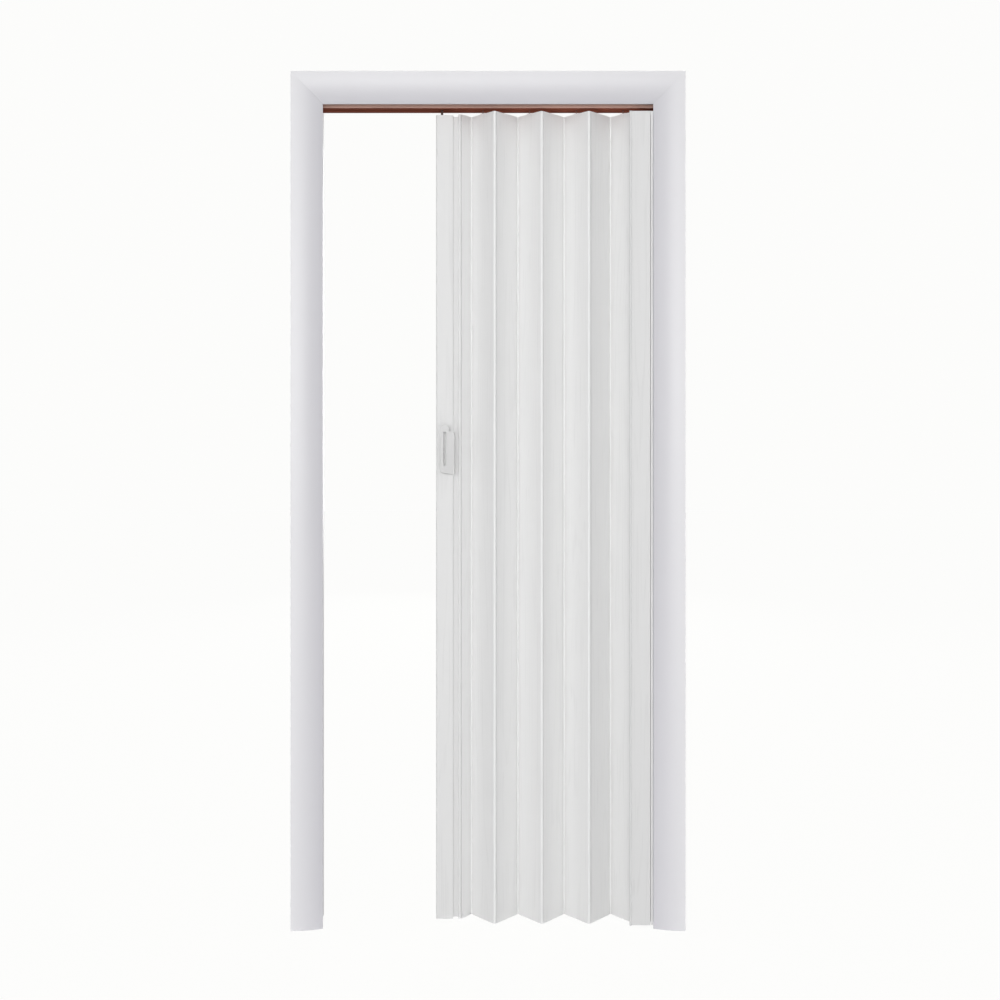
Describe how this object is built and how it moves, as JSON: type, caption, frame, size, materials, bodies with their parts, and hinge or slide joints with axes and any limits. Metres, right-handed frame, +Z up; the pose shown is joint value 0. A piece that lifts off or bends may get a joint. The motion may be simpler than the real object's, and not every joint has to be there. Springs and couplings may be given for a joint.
{
  "type": "accordion door in a cased frame",
  "caption": "Folding accordion door: hollow hinged slats in a zigzag, hung by glide pins from a head track, with a lead post and D-shaped pulls, in a mitred door frame.",
  "frame": {"origin": "on the floor at the middle of the door frame, between the side jambs and the casings", "axes": "+X to the right as seen from the front, towards the jamb that holds the folded slats; +Y into the wall, away from the viewer; +Z up"},
  "size_m": [0.996, 0.1599, 2.118],
  "materials": {
    "painted_wood": "satin white paint",
    "white_pvc": "satin, faint vertical wood grain",
    "brown_pvc": "satin brown",
    "brown_nylon": "satin dark brown",
    "handle_plastic": "semi-gloss light grey",
    "magnet_rubber": "matt black",
    "steel": "zinc plated"
  },
  "bodies": {
    "frame": {"left_jamb": "painted_wood", "right_jamb": "painted_wood", "head_jamb": "painted_wood", "front_casing_left": "painted_wood", "front_casing_right": "painted_wood", "front_casing_head": "painted_wood", "back_casing_left": "painted_wood", "back_casing_right": "painted_wood", "back_casing_head": "painted_wood", "corner_screws": "steel", "track": "brown_pvc", "track_screws": "steel", "wall_channel": "white_pvc", "wall_channel_screws": "steel", "fixed_stile": "white_pvc", "strike_strip": "steel", "strike_screws": "steel"},
    "half_a": {"half_slat_a": "white_pvc"},
    "panel_1": {"slat_1": "white_pvc", "plug_1": "white_pvc", "glide_1": "brown_nylon"},
    "panel_2": {"slat_2": "white_pvc"},
    "panel_3": {"slat_3": "white_pvc", "plug_3": "white_pvc", "glide_3": "brown_nylon"},
    "panel_4": {"slat_4": "white_pvc"},
    "panel_5": {"slat_5": "white_pvc", "plug_5": "white_pvc", "glide_5": "brown_nylon"},
    "panel_6": {"slat_6": "white_pvc"},
    "panel_7": {"slat_7": "white_pvc", "plug_7": "white_pvc", "glide_7": "brown_nylon"},
    "half_b": {"half_slat_b": "white_pvc"},
    "lead": {"lead_post": "white_pvc", "post_top_plug": "white_pvc", "post_foot_plug": "white_pvc", "hanger": "brown_nylon", "magnet_strip": "magnet_rubber", "front_handle": "handle_plastic", "back_handle": "handle_plastic", "handle_screws": "steel"}
  },
  "joints": [
    {"name": "fixed_hinge", "type": "hinge", "parent": "frame", "child": "half_a", "pos_m": [0.3945, 0, 0], "axis": [0, 0, 1], "range_deg": [-34.97, 23.53]},
    {"name": "fold_1", "type": "hinge", "parent": "half_a", "child": "panel_1", "pos_m": [0.36539, -0.04003, 0], "axis": [0, 0, 1], "range_deg": [-47.06, 69.94]},
    {"name": "fold_2", "type": "hinge", "parent": "panel_1", "child": "panel_2", "pos_m": [0.30716, 0.04003, 0], "axis": [0, 0, 1], "range_deg": [-69.94, 47.06]},
    {"name": "fold_3", "type": "hinge", "parent": "panel_2", "child": "panel_3", "pos_m": [0.24893, -0.04003, 0], "axis": [0, 0, 1], "range_deg": [-47.06, 69.94]},
    {"name": "fold_4", "type": "hinge", "parent": "panel_3", "child": "panel_4", "pos_m": [0.1907, 0.04003, 0], "axis": [0, 0, 1], "range_deg": [-69.94, 47.06]},
    {"name": "fold_5", "type": "hinge", "parent": "panel_4", "child": "panel_5", "pos_m": [0.13247, -0.04003, 0], "axis": [0, 0, 1], "range_deg": [-47.06, 69.94]},
    {"name": "fold_6", "type": "hinge", "parent": "panel_5", "child": "panel_6", "pos_m": [0.07424, 0.04003, 0], "axis": [0, 0, 1], "range_deg": [-69.94, 47.06]},
    {"name": "fold_7", "type": "hinge", "parent": "panel_6", "child": "panel_7", "pos_m": [0.01601, -0.04003, 0], "axis": [0, 0, 1], "range_deg": [-47.06, 69.94]},
    {"name": "fold_8", "type": "hinge", "parent": "panel_7", "child": "half_b", "pos_m": [-0.04222, 0.04003, 0], "axis": [0, 0, 1], "range_deg": [-69.94, 47.06]},
    {"name": "lead_hinge", "type": "hinge", "parent": "half_b", "child": "lead", "pos_m": [-0.07133, 0, 0], "axis": [0, 0, 1], "range_deg": [-23.53, 34.97]}
  ],
  "couplings": [
    {"joint": "fold_1", "follows": "fixed_hinge", "ratio": -2},
    {"joint": "fold_2", "follows": "fixed_hinge", "ratio": 2},
    {"joint": "fold_3", "follows": "fixed_hinge", "ratio": -2},
    {"joint": "fold_4", "follows": "fixed_hinge", "ratio": 2},
    {"joint": "fold_5", "follows": "fixed_hinge", "ratio": -2},
    {"joint": "fold_6", "follows": "fixed_hinge", "ratio": 2},
    {"joint": "fold_7", "follows": "fixed_hinge", "ratio": -2},
    {"joint": "fold_8", "follows": "fixed_hinge", "ratio": 2},
    {"joint": "lead_hinge", "follows": "fixed_hinge", "ratio": -1}
  ]
}
